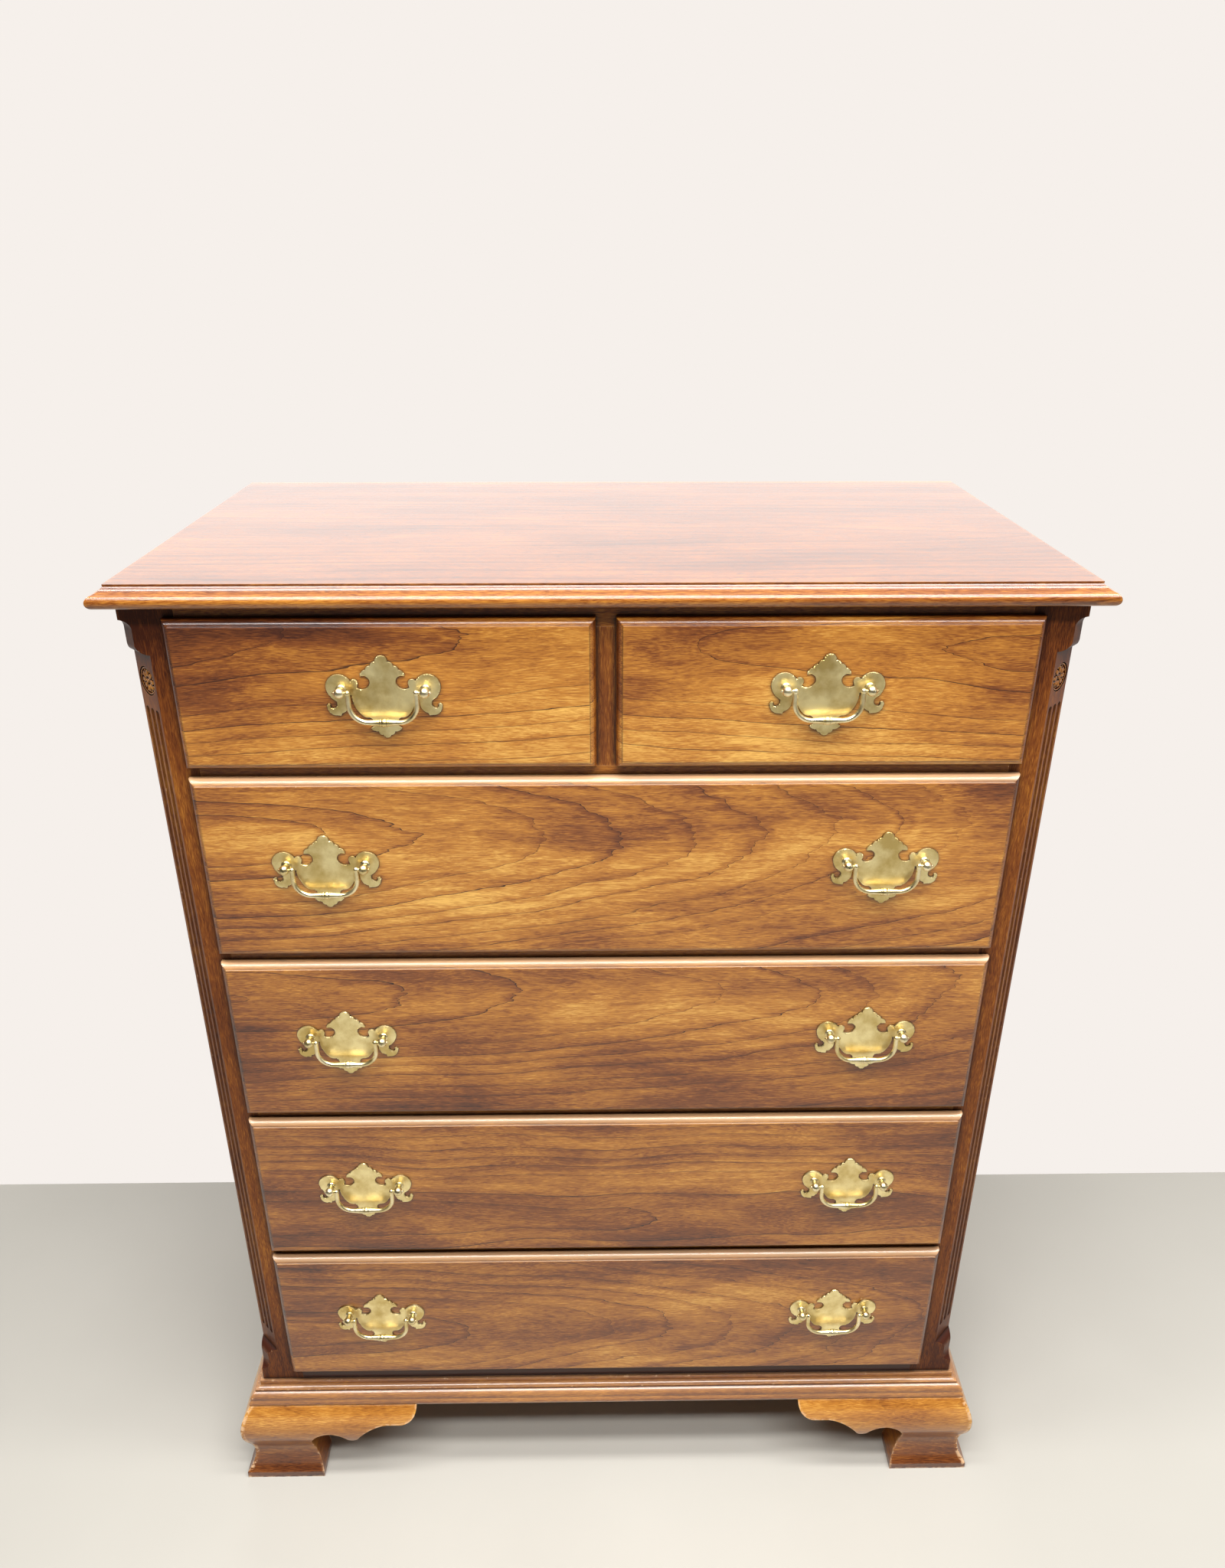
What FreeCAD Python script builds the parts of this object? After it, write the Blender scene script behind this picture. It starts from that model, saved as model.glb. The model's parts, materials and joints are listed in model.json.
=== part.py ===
import FreeCAD, Part
import math
import os
import Sketcher
from types import SimpleNamespace

# Chest of drawers in stained cherry: two small drawers over four wide ones, canted and fluted
# front corner posts, a moulded top, a moulded base frame, ogee bracket feet and bat-wing brass pulls.
# Frame: +Z up from the floor, +X to the right of someone facing the drawers, +Y towards the back,
# origin on the floor in the middle of the outer box.

# Driving dimensions in millimetres.
SIZES = {
    # Case
    "case_width": 867.0,
    "case_depth": 464.0,
    "foot_height": 117.0,
    "base_height": 30.0,
    "bottom_rail_height": 19.5,
    "row_height": 187.5,
    "top_row_height": 136.5,
    "rail_height": 19.0,
    "top_rail_height": 21.0,
    # Top panel and its moulded edge
    "top_thickness": 20.3,
    "top_overhang": 18.5,
    "top_back_overhang": 8.0,
    "top_field_inset": 13.0,
    "top_step": 2.2,
    "top_cove_drop": 6.0,
    "top_cove_sag": 0.9,
    "top_nose_radius": 6.3,
    # Corner posts
    "post_width": 50.0,
    "post_depth": 50.0,
    "cant_leg": 23.2,
    "tongue_leg": 10.8,
    "tongue_cove": 10.5,
    "tongue_flat": 12.0,
    "tongue_ovolo": 11.0,
    "square_above": 13.5,
    "square_below": 18.0,
    "flute_radius": 3.3,
    "flute_depth": 2.4,
    "flute_spacing": 9.6,
    "flute_start": 80.0,
    "flute_stop": 105.0,
    "rosette_drop": 75.0,
    "rosette_radius": 13.4,
    "rosette_gap": 0.6,
    "rosette_recess": 2.6,
    "rosette_rim": 1.6,
    "rosette_proud": 0.8,
    "rosette_button": 3.2,
    # Rails, stile, side panels and back
    "rail_depth": 60.0,
    "tenon_length": 12.0,
    "tenon_thickness": 10.0,
    "stile_width": 38.0,
    "stile_tenon": 8.0,
    "side_thickness": 19.0,
    "side_tongue": 8.0,
    "back_thickness": 6.0,
    "back_rabbet": 9.5,
    # Frames behind the rails that carry the drawers
    "runner_width": 80.0,
    "runner_housing": 6.0,
    "rear_rail_depth": 50.0,
    "centre_runner_width": 90.0,
    "guide_width": 25.0,
    "guide_height": 8.0,
    "guide_setback": 25.0,
    "spacer_width": 34.0,
    "spacer_height": 30.0,
    # Base moulding
    "base_depth": 60.0,
    "base_fillet_out": 3.5,
    "base_fillet_drop": 6.5,
    "base_cove_out": 9.2,
    "base_cove_drop": 9.6,
    "base_ovolo_in": 10.0,
    "base_ovolo_top": 12.2,
    "base_ovolo_out": 15.2,
    "base_ovolo_drop": 20.6,
    "base_bead_top": 21.8,
    "base_bead_out": 17.2,
    "base_bead_foot": 16.2,
    # Ogee bracket feet
    "foot_proud": 30.5,
    "foot_back": 14.0,
    "plinth_height": 9.0,
    "ogee_neck_out": 19.6,
    "ogee_neck_height": 39.0,
    "ogee_turn_out": 24.6,
    "ogee_turn_height": 59.0,
    "ogee_belly_out": 29.4,
    "ogee_belly_height": 87.0,
    "ogee_top_out": 17.0,
    "foot_width": 98.0,
    "knee_width": 86.0,
    "knee_height": 50.0,
    "scoop_width": 105.0,
    "scoop_height": 78.5,
    "lobe_start": 132.5,
    "lobe_start_height": 67.0,
    "lobe_width": 137.5,
    "lobe_height": 63.5,
    "lobe_end": 146.0,
    "lobe_end_height": 67.0,
    "wing_cove_width": 160.0,
    "wing_cove_height": 83.5,
    "wing_width": 184.0,
    "wing_height": 93.5,
    "wing_round": 20.0,
    "wing_round_in": 6.5,
    "wing_round_height": 100.5,
    "front_wing": 223.0,
    "side_wing": 196.0,
    "rear_bracket_length": 120.0,
    "rear_bracket_toe": 62.0,
    "rear_bracket_thickness": 19.0,
    "rear_bracket_rise": 85.0,
    "block_size": 38.0,
    "block_lift": 4.0,
    # Drawers
    "lip_overlap": 10.0,
    "lip_gap": 0.3,
    "front_proud": 12.0,
    "front_inner": 10.0,
    "front_gap": 1.5,
    "edge_width": 6.0,
    "edge_thickness": 4.5,
    "edge_step": 1.4,
    "edge_round": 2.4,
    "run_gap": 0.3,
    "drawer_side": 12.0,
    "drawer_back": 12.0,
    "drawer_rear_gap": 28.0,
    "drawer_headroom": 6.0,
    "back_inset": 8.0,
    "back_drop": 5.0,
    "housing": 5.0,
    "bottom_rise": 12.0,
    "bottom_thickness": 5.0,
    "cleat_width": 12.0,
    "cleat_gap": 0.5,
    "cleat_lift": 1.0,
    "tail_root": 20.0,
    "tail_flare": 3.0,
    # Pulls
    "pull_rise": 8.0,
    "pull_from_middle": 272.5,
    "pull_spacing": 76.2,
    "pivot_proud": 10.0,
    "plate_grid": 1.0,
    "plate_thickness": 1.6,
    "collar_radius": 5.2,
    "collar_thickness": 1.8,
    "neck_radius": 3.0,
    "ball_radius": 5.0,
    "shank_radius": 2.5,
    "shank_gap": 0.2,
    "nut_flat": 4.6,
    "nut_thickness": 4.0,
    "nut_gap": 0.05,
    "shank_end": 2.0,
    "bail_arm": 30.7,
    "bail_drop": 28.5,
    "bail_bend": 17.0,
    "bail_radius": 2.3,
    "bail_swell": 3.3,
    "bail_pin_radius": 1.6,
    "bail_pin_gap": 0.06,
    "bail_pin_out": 5.0,
    "bail_pin_tip": 2.0,
    "knuckle_radius": 2.75,
    "bead_radius": 4.0,
    "bead_length": 4.4,
    "ring_radius": 3.8,
    "ring_length": 1.8,
}

# Counts of like things.
WIDE_ROWS = 4
TALL_TAILS = 4
SHORT_TAILS = 3
FLUTES = 3
ROOT_HALF = math.sqrt(0.5)

doc = FreeCAD.newDocument("Dresser")
sheet = doc.addObject("Spreadsheet::Sheet", "Sizes")
for row, (alias, value) in enumerate(SIZES.items(), start=1):
    sheet.set("A%d" % row, alias)
    sheet.set("B%d" % row, str(value))
    sheet.setAlias("B%d" % row, alias)
doc.recompute()


class Length:
    """A length: its value now, and the expression that keeps it tied to the sheet."""

    def __init__(self, value, text):
        self.value = value
        self.text = text

    def __add__(self, other):
        other = length(other)
        return Length(self.value + other.value, "(%s + %s)" % (self.text, other.text))

    def __sub__(self, other):
        other = length(other)
        return Length(self.value - other.value, "(%s - %s)" % (self.text, other.text))

    def __mul__(self, factor):
        return Length(self.value * factor, "(%s * %.9g)" % (self.text, factor))

    def __truediv__(self, factor):
        return Length(self.value / factor, "(%s / %.9g)" % (self.text, factor))

    def __neg__(self):
        return Length(-self.value, "(0 - %s)" % self.text)


def length(item):
    """The item as a Length, whether it is one already or a bare number."""
    if isinstance(item, Length):
        return item
    return Length(float(item), "%.9g" % item)


size = SimpleNamespace(**{alias: Length(value, "Sizes." + alias) for alias, value in SIZES.items()})
zero = length(0)
nodes = []

# Levels and faces that several pieces share.
half_case = size.case_width / 2
front = (size.foot_proud - size.case_depth - size.top_back_overhang) / 2
rear = front + size.case_depth
inner_rear = rear - size.back_thickness
drawer_length = size.case_depth - size.back_thickness - size.drawer_rear_gap
case_bottom = size.foot_height + size.base_height
half_opening = half_case - size.post_width
half_stile = size.stile_width / 2
side_inside = half_case - size.side_thickness
floors = [case_bottom + size.bottom_rail_height]
for row in range(WIDE_ROWS):
    floors.append(floors[-1] + size.row_height + size.rail_height)
top_rail_bottom = floors[-1] + size.top_row_height
case_top = top_rail_bottom + size.top_rail_height
field = front - size.front_proud
pivot = field - size.pivot_proud


def bind(item, path, amount):
    item.setExpression(path, length(amount).text)


def move(item, place):
    for axis, amount in zip("xyz", place):
        bind(item, "Placement.Base." + axis, amount)


def spot(pair):
    return FreeCAD.Vector(length(pair[0]).value, length(pair[1]).value, 0)


def outline(sketch, corners):
    """Draws a closed outline. A corner with a third item is reached by an arc through that point."""
    rules = []
    ties = []

    def pin(curve, end, pair):
        for kind, amount in zip(("DistanceX", "DistanceY"), pair):
            ties.append((len(rules), length(amount).text))
            rules.append(Sketcher.Constraint(kind, -1, 1, curve, end, length(amount).value))

    curves = []
    for here, there in zip(corners, corners[1:] + corners[:1]):
        if len(there) == 3:
            curve = sketch.addGeometry(Part.Arc(spot(here), spot(there[2]), spot(there)))
            mark = sketch.addGeometry(Part.Point(spot(there[2])), True)
            rules.append(Sketcher.Constraint("PointOnObject", mark, 1, curve))
            pin(mark, 1, there[2])
        else:
            curve = sketch.addGeometry(Part.LineSegment(spot(here), spot(there)))
        starts_first = sketch.getPoint(curve, 1).isEqual(spot(here), 1e-6)
        curves.append((curve, 1, 2) if starts_first else (curve, 2, 1))
    for here, (curve, first, last), (after, begin, end) in zip(corners, curves, curves[1:] + curves[:1]):
        rules.append(Sketcher.Constraint("Coincident", curve, last, after, begin))
        pin(curve, first, here)
    offset = len(sketch.Constraints)
    sketch.addConstraint(rules)
    for number, text in ties:
        sketch.setExpression("Constraints[%d]" % (offset + number), text)


def backwards(walk):
    """The same run of corners walked the other way, each arc kept on its own stretch."""
    turned = [walk[-1][:2]]
    for here, after in zip(walk[-2::-1], walk[:0:-1]):
        turned.append(here[:2] + after[2:])
    return turned


def ring(sketch, centre, radius):
    """Draws a circle at a point of the sketch."""
    curve = sketch.addGeometry(Part.Circle(spot(centre), FreeCAD.Vector(0, 0, 1), length(radius).value))
    amounts = (("DistanceX", centre[0]), ("DistanceY", centre[1]))
    for kind, amount in amounts:
        rule = sketch.addConstraint(Sketcher.Constraint(kind, -1, 1, curve, 3, length(amount).value))
        bind(sketch, "Constraints[%d]" % rule, amount)
    rule = sketch.addConstraint(Sketcher.Constraint("Radius", curve, length(radius).value))
    bind(sketch, "Constraints[%d]" % rule, radius)


def sketch_on(body, role, name):
    """A sketch on one of a body's own origin planes."""
    sketch = body.newObject("Sketcher::SketchObject", name)
    planes = {feature.Role: feature for feature in body.Origin.OriginFeatures}
    sketch.AttachmentSupport = (planes[role], [""])
    sketch.MapMode = "FlatFace"
    return sketch


def board(name, low, high):
    """A plain board between two corners."""
    item = doc.addObject("Part::Box", name)
    for side, near, far in zip(("Length", "Width", "Height"), low, high):
        bind(item, side, far - near)
    move(item, low)
    return item


def pad(name, role, corners, thickness, place, both_ways=False, holes=()):
    """A body padded from an outline on one of its origin planes."""
    body = doc.addObject("PartDesign::Body", name)
    sketch = sketch_on(body, role, name + "_outline")
    outline(sketch, corners)
    for centre, radius in holes:
        ring(sketch, centre, radius)
    feature = body.newObject("PartDesign::Pad", name + "_pad")
    feature.Profile = sketch
    feature.SideType = "Symmetric" if both_ways else "One side"
    bind(feature, "Length", thickness)
    move(body, place)
    return body


def revolve(body, name, corners):
    """Turns an outline on a body's XY plane once round the body's X axis."""
    sketch = sketch_on(body, "XY_Plane", name + "_outline")
    outline(sketch, corners)
    feature = body.newObject("PartDesign::Revolution", name)
    feature.Profile = sketch
    feature.ReferenceAxis = (sketch, ["H_Axis"])
    feature.Angle = 360
    return feature


def joined(kind, name, members):
    """Several shapes made one: a MultiFuse, a MultiCommon or a plain Compound of separate solids."""
    item = doc.addObject("Part::" + kind, name)
    setattr(item, "Links" if kind == "Compound" else "Shapes", members)
    return item


def cut(name, base, tools):
    """The base with every tool taken out of it."""
    item = doc.addObject("Part::Cut", name)
    item.Base = base
    item.Tool = tools[0] if len(tools) == 1 else joined("MultiFuse", name + "_tools", tools)
    return item


def mirrored(name, source, base=(0, 0, 0), normal=(1, 0, 0)):
    item = doc.addObject("Part::Mirroring", name)
    item.Source = source
    item.Normal = FreeCAD.Vector(*normal)
    for axis, amount in zip("xyz", base):
        bind(item, "Base." + axis, amount)
    return item


def copied(name, source, place):
    """The source's shape once more, at another place."""
    item = joined("Compound", name, [source])
    move(item, place)
    return item


def node(label, item):
    """Marks a finished sub-part, whose label names its file."""
    item.Label = label
    nodes.append(item)
    return item


def top_panel():
    """Solid top: the same moulded edge on the front and both ends, mitred by crossing two profiles."""
    edge_top = size.top_thickness
    nose = size.top_nose_radius
    cove_foot = edge_top - size.top_step - size.top_cove_drop
    nose_rise = cove_foot - nose
    nose_run = nose - Length(
        math.sqrt(nose.value**2 - nose_rise.value**2),
        "sqrt(%s ^ 2 - %s ^ 2)" % (nose.text, nose_rise.text),
    )

    def moulding(edge, way):
        """From the field down to the underside, at an edge that faces the given way."""

        def inside(inset):
            return edge - inset * way

        cove_middle = inside((size.top_field_inset + nose_run) / 2 + size.top_cove_sag / 2)
        cove_level = edge_top - size.top_step - size.top_cove_drop / 2 - size.top_cove_sag
        return [
            (inside(size.top_field_inset), edge_top),
            (inside(size.top_field_inset), edge_top - size.top_step),
            (inside(nose_run), cove_foot, (cove_middle, cove_level)),
            (inside(nose), zero, (edge, nose)),
        ]

    half_width = half_case + size.top_overhang
    back_edge = size.case_depth + size.top_back_overhang
    front_profile = moulding(-size.top_overhang, -1) + [(back_edge, zero), (back_edge, edge_top)]
    end_profile = moulding(half_width, 1) + backwards(moulding(-half_width, -1))
    place = (zero, front, case_top)
    long_way = pad("top_long", "YZ_Plane", front_profile, half_width * 2, place, both_ways=True)
    cross_way = pad("top_cross", "XZ_Plane", end_profile, back_edge * 3, place, both_ways=True)
    node("top_panel", joined("MultiCommon", "top_board", [long_way, cross_way]))


def rail(name, bottom, height):
    """A front rail, with a tenon on each end for the posts."""
    shoulder = half_opening
    tip = half_opening + size.tenon_length
    near = (size.post_depth - size.tenon_thickness) / 2
    far = near + size.tenon_thickness
    half = [
        (shoulder, zero),
        (shoulder, near),
        (tip, near),
        (tip, far),
        (shoulder, far),
        (shoulder, size.rail_depth),
    ]
    other = [(-x, y) for x, y in reversed(half)]
    return pad(name, "XY_Plane", half + other, height, (zero, front, bottom))


def front_rails():
    """The rails that frame the drawers, and the stile that parts the two small ones."""
    bottom = rail("bottom_rail_board", case_bottom, size.bottom_rail_height)
    between = [
        rail("drawer_rail_board_%d" % number, floor - size.rail_height, size.rail_height)
        for number, floor in enumerate(floors[1:], start=1)
    ]
    top = rail("top_rail_board", top_rail_bottom, size.top_rail_height)
    near = (size.rail_depth - size.tenon_thickness) / 2
    stile = board(
        "stile_board",
        (-half_stile, front, floors[-1]),
        (half_stile, front + size.rail_depth, top_rail_bottom),
    )
    tenon = board(
        "stile_tenon_board",
        (-half_stile / 2, front + near, floors[-1] - size.stile_tenon),
        (half_stile / 2, front + near + size.tenon_thickness, top_rail_bottom + size.stile_tenon),
    )
    stile = node("drawer_stile", joined("MultiFuse", "stile", [stile, tenon]))
    node("bottom_rail", bottom)
    node("top_rail", cut("top_rail_cut", top, [stile]))
    last = cut("drawer_rail_cut", between[-1], [stile])
    node("drawer_rails", joined("Compound", "drawer_rail_set", between[:-1] + [last]))
    return [bottom] + between + [top]


def carrying_frames():
    """Runners and rear rails behind every front rail, and the strips that guide the drawers."""
    frames = [(case_bottom, floors[0])]
    frames += [(floor - size.rail_height, floor) for floor in floors[1:]]
    frames.append((top_rail_bottom, case_top))
    start = front + size.rail_depth
    end = inner_rear - size.rear_rail_depth
    outside = side_inside + size.runner_housing
    inside = side_inside - size.runner_width
    runners = []
    rear_rails = []
    for number, (low, high) in enumerate(frames):
        runner = board("runner_%d" % number, (inside, start, low), (outside, end, high))
        runners += [runner, mirrored("left_runner_%d" % number, runner)]
        rear_rails.append(board("rear_rail_%d" % number, (-outside, end, low), (outside, inner_rear, high)))
    half_centre = size.centre_runner_width / 2
    low, high = frames[WIDE_ROWS]
    runners.append(board("centre_runner", (-half_centre, start, low), (half_centre, end, high)))
    half_guide = size.guide_width / 2
    guides = []
    for number, (middle, floor) in enumerate(guide_lines()):
        guides.append(
            board(
                "guide_%d" % number,
                (middle - half_guide, front + size.guide_setback, floor),
                (middle + half_guide, inner_rear, floor + size.guide_height),
            )
        )
    half_spacer = size.spacer_width / 2
    guides.append(
        board(
            "guide_spacer",
            (-half_spacer, start, floors[-1]),
            (half_spacer, inner_rear, floors[-1] + size.spacer_height),
        )
    )
    node("drawer_runners", joined("Compound", "runner_set", runners))
    node("rear_rails", joined("Compound", "rear_rail_set", rear_rails))
    node("drawer_guides", joined("Compound", "guide_set", guides))
    return runners, rear_rails


def small_middle():
    """The middle of the right-hand small drawer's opening."""
    return (half_stile + half_opening) / 2


def guide_lines():
    """The middle and the floor of each drawer's guide strip."""
    lines = [(-small_middle(), floors[-1]), (small_middle(), floors[-1])]
    return lines + [(zero, floor) for floor in floors[:-1]]


def side_panels(runners, rear_rails):
    """Solid sides: a tongue for the post, a rabbet for the back, housings for the frames."""
    start = size.post_depth
    tongue_in = side_inside + (size.side_thickness - size.side_tongue) / 2
    tongue_out = tongue_in + size.side_tongue
    rabbet = half_case - size.back_rabbet
    plan = [
        (side_inside, start),
        (tongue_in, start),
        (tongue_in, start - size.side_tongue),
        (tongue_out, start - size.side_tongue),
        (tongue_out, start),
        (half_case, start),
        (half_case, size.case_depth),
        (rabbet, size.case_depth),
        (rabbet, size.case_depth - size.back_thickness),
        (side_inside, size.case_depth - size.back_thickness),
    ]
    blank = pad("side_blank", "XY_Plane", plan, case_top - case_bottom, (zero, front, case_bottom))
    housed = [runner for runner in runners if runner.TypeId == "Part::Box" and runner.Name != "centre_runner"]
    right = node("side_panel_right", cut("side_right", blank, housed + rear_rails))
    node("side_panel_left", mirrored("side_left", right))
    return blank


def back_panel():
    """Thin plywood back, let into the rabbets of the sides."""
    half_width = half_case - size.back_rabbet
    sheet_of_ply = board("back_board", (-half_width, inner_rear, case_bottom), (half_width, rear, case_top))
    node("back_panel", sheet_of_ply)


def cant_profile():
    """Inset of the canted corner against height: square, hollow, flat, round and cant, then back out."""
    outside = size.cant_leg
    tongue = -size.tongue_leg * ROOT_HALF
    cant = -size.cant_leg * ROOT_HALF
    step = size.tongue_leg * ROOT_HALF - size.cant_leg * ROOT_HALF
    deep = -(size.post_width + size.post_depth)

    def stop(level, way):
        """One lamb's tongue, walked from the square end of the post to the cant."""
        hollow_end = level + size.tongue_cove * way
        round_start = hollow_end + size.tongue_flat * way
        round_end = round_start + size.tongue_ovolo * way
        hollow = (tongue * ROOT_HALF, hollow_end - size.tongue_cove * (way * ROOT_HALF))
        bulge = (cant - step * ROOT_HALF, round_start + size.tongue_ovolo * (way * ROOT_HALF))
        return [
            (outside, level),
            (zero, level),
            (tongue, hollow_end, hollow),
            (tongue, round_start),
            (cant, round_end, bulge),
        ]

    lower = stop(case_bottom + size.square_below, 1)
    upper = backwards(stop(case_top - size.square_above, -1))
    ends = [(outside, case_top), (deep, case_top), (deep, case_bottom), (outside, case_bottom)]
    return lower + upper + ends


def corner_posts(side_blank, rails):
    """Front corner posts with a fluted cant between lamb's tongues, and a sunk rosette on each."""
    square = board(
        "post_square",
        (half_opening, front, case_bottom),
        (half_case, front + size.post_depth, case_top),
    )
    corner = (half_case, front, zero)
    turned = FreeCAD.Rotation(FreeCAD.Vector(0, 0, 1), -45)
    canted = pad("post_cant", "XZ_Plane", cant_profile(), size.post_width * 3, corner, both_ways=True)
    canted.Placement = FreeCAD.Placement(FreeCAD.Vector(), turned)
    post = joined("MultiCommon", "post_blank", [square, canted])
    cant = half_case - size.cant_leg / 2
    cant_face = (cant, front + size.cant_leg / 2)

    def on_cant(across, out):
        """A point in plan: across the cant from its middle, and out from its face."""
        x = cant_face[0] + across * ROOT_HALF + out * ROOT_HALF
        y = cant_face[1] + across * ROOT_HALF - out * ROOT_HALF
        return x, y

    tools = []
    bottom = case_bottom + size.flute_start
    top = case_top - size.flute_stop
    for flute in range(FLUTES):
        across = size.flute_spacing * (flute - (FLUTES - 1) / 2)
        x, y = on_cant(across, size.flute_radius - size.flute_depth)
        groove = doc.addObject("Part::Cylinder", "flute_%d" % flute)
        bind(groove, "Radius", size.flute_radius)
        bind(groove, "Height", top - bottom)
        move(groove, (x, y, bottom))
        tools.append(groove)
        for end, level in enumerate((bottom, top)):
            cap = doc.addObject("Part::Sphere", "flute_%d_end_%d" % (flute, end))
            bind(cap, "Radius", size.flute_radius)
            move(cap, (x, y, level))
            tools.append(cap)
    level = case_top - size.rosette_drop
    outward = FreeCAD.Rotation(FreeCAD.Vector(0, 0, 1), FreeCAD.Vector(1, -1, 0))
    x, y = on_cant(zero, -size.rosette_recess)
    recess = doc.addObject("Part::Cylinder", "rosette_recess")
    recess.Placement = FreeCAD.Placement(FreeCAD.Vector(), outward)
    bind(recess, "Radius", size.rosette_radius + size.rosette_gap)
    bind(recess, "Height", size.cant_leg)
    move(recess, (x, y, level))
    fluted = cut("post_fluted", post, tools + [recess])
    right = node("corner_post_right", cut("post_right", fluted, [side_blank] + rails))
    node("corner_post_left", mirrored("post_left", right))

    rosette = doc.addObject("PartDesign::Body", "rosette_right")
    rim = size.rosette_recess + size.rosette_proud - size.rosette_rim
    crown = size.rosette_recess + size.rosette_proud
    button = size.rosette_button
    petal = (size.rosette_radius + button) / 2
    profile = [
        (zero, zero),
        (zero, size.rosette_radius),
        (rim, size.rosette_radius),
        (rim, button, (crown, petal)),
        (rim + button, zero, (rim + button * ROOT_HALF, button * ROOT_HALF)),
    ]
    revolve(rosette, "rosette_turning", profile)
    rosette.Placement = FreeCAD.Placement(FreeCAD.Vector(), turned)
    move(rosette, (x, y, level))
    node("rosettes", joined("Compound", "rosette_pair", [rosette, mirrored("rosette_left", rosette)]))


def base_profile(wall, way):
    """The base moulding's face, from its bottom to its top, outside a wall that faces the given way."""
    top = size.base_height

    def out(amount):
        return wall + amount * way

    bead_middle = (top - size.base_bead_top) / 2
    cove_top = top - size.base_fillet_drop
    cove_foot = top - size.base_cove_drop
    ovolo_top = top - size.base_ovolo_top
    ovolo_foot = top - size.base_ovolo_drop
    cove_via = size.base_fillet_out + (size.base_cove_out - size.base_fillet_out) * (1 - ROOT_HALF)
    cove_level = cove_foot + (cove_top - cove_foot) * (1 - ROOT_HALF)
    ovolo_via = size.base_ovolo_in + (size.base_ovolo_out - size.base_ovolo_in) * ROOT_HALF
    ovolo_level = ovolo_foot + (ovolo_top - ovolo_foot) * ROOT_HALF
    return [
        (wall - size.base_depth * way, zero),
        (out(size.base_bead_foot), zero),
        (out(size.base_ovolo_out), top - size.base_bead_top, (out(size.base_bead_out), bead_middle)),
        (out(size.base_ovolo_out), ovolo_foot),
        (out(size.base_ovolo_in), ovolo_top, (out(ovolo_via), ovolo_level)),
        (out(size.base_cove_out), ovolo_top),
        (out(size.base_cove_out), cove_foot),
        (out(size.base_fillet_out), cove_top, (out(cove_via), cove_level)),
        (out(size.base_fillet_out), top),
        (wall - size.base_depth * way, top),
    ]


def base_moulding():
    """Moulded frame under the case: front and side lengths mitred at the corners, and a plain back."""
    outer = size.base_bead_out + size.base_bead_out
    inner = size.base_depth
    place = (zero, front, size.foot_height)
    face = base_profile(zero, -1)
    run = pad("base_front_run", "YZ_Plane", face, (half_case + outer) * 2, place, both_ways=True)
    plan = [
        (-half_case - outer, -outer),
        (half_case + outer, -outer),
        (half_case - inner, inner),
        (inner - half_case, inner),
    ]
    mitre = pad("base_front_plan", "XY_Plane", plan, size.base_height, place)
    front_length = joined("MultiCommon", "base_front", [run, mitre])
    face = base_profile(half_case, 1)
    run = pad("base_side_run", "XZ_Plane", face, size.case_depth * 3, place, both_ways=True)
    plan = [
        (half_case + outer, -outer),
        (half_case + outer, size.case_depth),
        (half_case - inner, size.case_depth),
        (half_case - inner, inner),
    ]
    mitre = pad("base_side_plan", "XY_Plane", plan, size.base_height, place)
    right = joined("MultiCommon", "base_right", [run, mitre])
    back = board(
        "base_back",
        (inner - half_case, rear - inner, size.foot_height),
        (half_case - inner, rear, case_bottom),
    )
    lengths = [front_length, right, mirrored("base_left", right), back]
    node("base_moulding", joined("Compound", "base_set", lengths))


def bracket(name, wing, mitred):
    """One ogee bracket with its corner at the origin, running along +X and facing -Y."""
    proud = size.foot_proud
    deep = size.foot_back
    high = size.foot_height

    def along(amount):
        return amount - proud

    belly_low = (-size.ogee_turn_out, size.ogee_turn_height)
    ogee = [
        (deep, zero),
        (-proud, zero),
        (-proud, size.plinth_height),
        belly_low + ((-size.ogee_neck_out, size.ogee_neck_height),),
        (-size.ogee_top_out, high, (-size.ogee_belly_out, size.ogee_belly_height)),
        (deep, high),
    ]
    round_start = (along(wing - size.wing_round), size.wing_height)
    round_middle = (along(wing - size.wing_round_in), size.wing_round_height)
    lobe_start = (along(size.lobe_start), size.lobe_start_height)
    shape = [
        (along(-proud), zero),
        (along(size.foot_width), zero),
        (along(size.foot_width), size.plinth_height),
        (along(size.knee_width), size.knee_height),
        lobe_start + ((along(size.scoop_width), size.scoop_height),),
        (along(size.lobe_end), size.lobe_end_height, (along(size.lobe_width), size.lobe_height)),
        (along(size.wing_width), size.wing_height, (along(size.wing_cove_width), size.wing_cove_height)),
        round_start,
        (along(wing), high, round_middle),
        (along(-proud), high),
    ]
    far = along(wing) + proud
    if mitred:
        plan = [(-proud * 2, -proud * 2), (far, -proud * 2), (far, deep), (deep, deep)]
    else:
        plan = [(zero, -proud * 2), (far, -proud * 2), (far, deep), (zero, deep)]
    nowhere = (zero, zero, zero)
    face = pad(name + "_ogee", "YZ_Plane", ogee, wing * 3, nowhere, both_ways=True)
    sawn = pad(name + "_sawn", "XZ_Plane", shape, proud * 6, nowhere, both_ways=True)
    mitre = pad(name + "_plan", "XY_Plane", plan, high, nowhere)
    return joined("MultiCommon", name, [face, sawn, mitre])


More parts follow.
